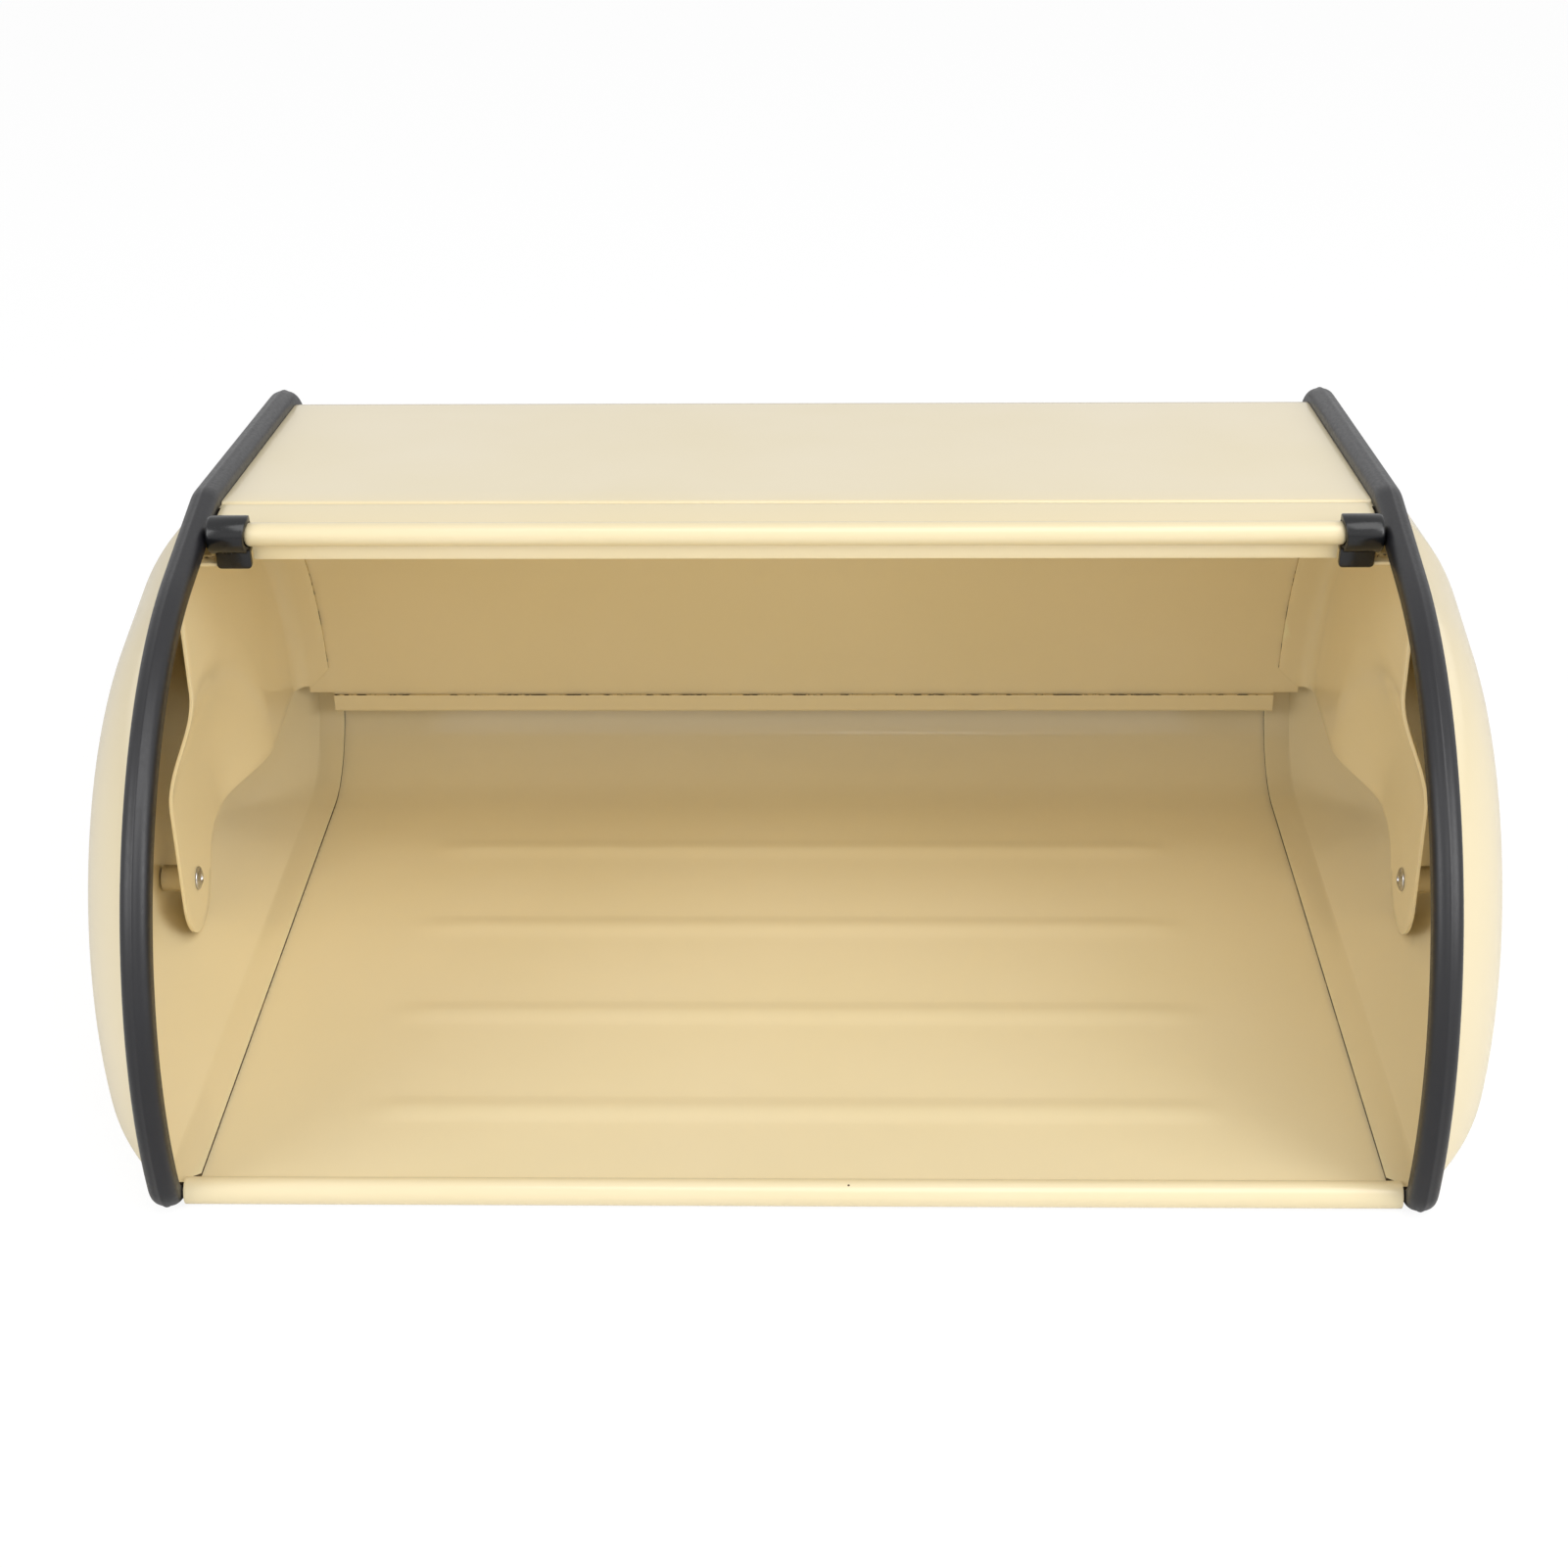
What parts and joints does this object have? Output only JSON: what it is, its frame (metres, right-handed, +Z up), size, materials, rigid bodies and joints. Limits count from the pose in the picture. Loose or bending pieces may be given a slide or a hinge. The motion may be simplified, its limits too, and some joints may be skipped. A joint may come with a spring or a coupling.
{
  "type": "roll-top bread box",
  "caption": "Sheet-metal bread box with a D-shaped side view, domed ends in dark edge trim, a ribbed floor, a rolled front lip and a curved lid that swings on end rivets, shown open.",
  "frame": {"origin": "middle of the bounding box, on the plane that the box stands on", "axes": "+X along the width, to the right as seen from the front, +Y from the open front to the back wall, +Z up"},
  "size_m": [0.3308, 0.2262, 0.1332],
  "materials": {
    "cream_enamel": "cream powder coat, satin gloss",
    "edge_trim": "dark grey flexible plastic, satin",
    "bumper_clip": "black moulded plastic, satin",
    "rivet": "plain, lightly polished",
    "bush": "black moulded plastic, matte"
  },
  "bodies": {
    "box": {"body_shell": "cream_enamel", "left_side_dome": "cream_enamel", "right_side_dome": "cream_enamel", "left_edge_trim": "edge_trim", "right_edge_trim": "edge_trim", "left_pivot_bush": "bush", "right_pivot_bush": "bush", "left_pivot_rivet": "rivet", "right_pivot_rivet": "rivet"},
    "lid": {"lid_sheet": "cream_enamel", "left_lid_end": "cream_enamel", "right_lid_end": "cream_enamel", "left_bead_clip": "bumper_clip", "right_bead_clip": "bumper_clip"}
  },
  "joints": [
    {"name": "lid_hinge", "type": "hinge", "parent": "box", "child": "lid", "pos_m": [0, 0.0025, 0.0255], "axis": [1, 0, 0], "range_deg": [0, 88]}
  ]
}
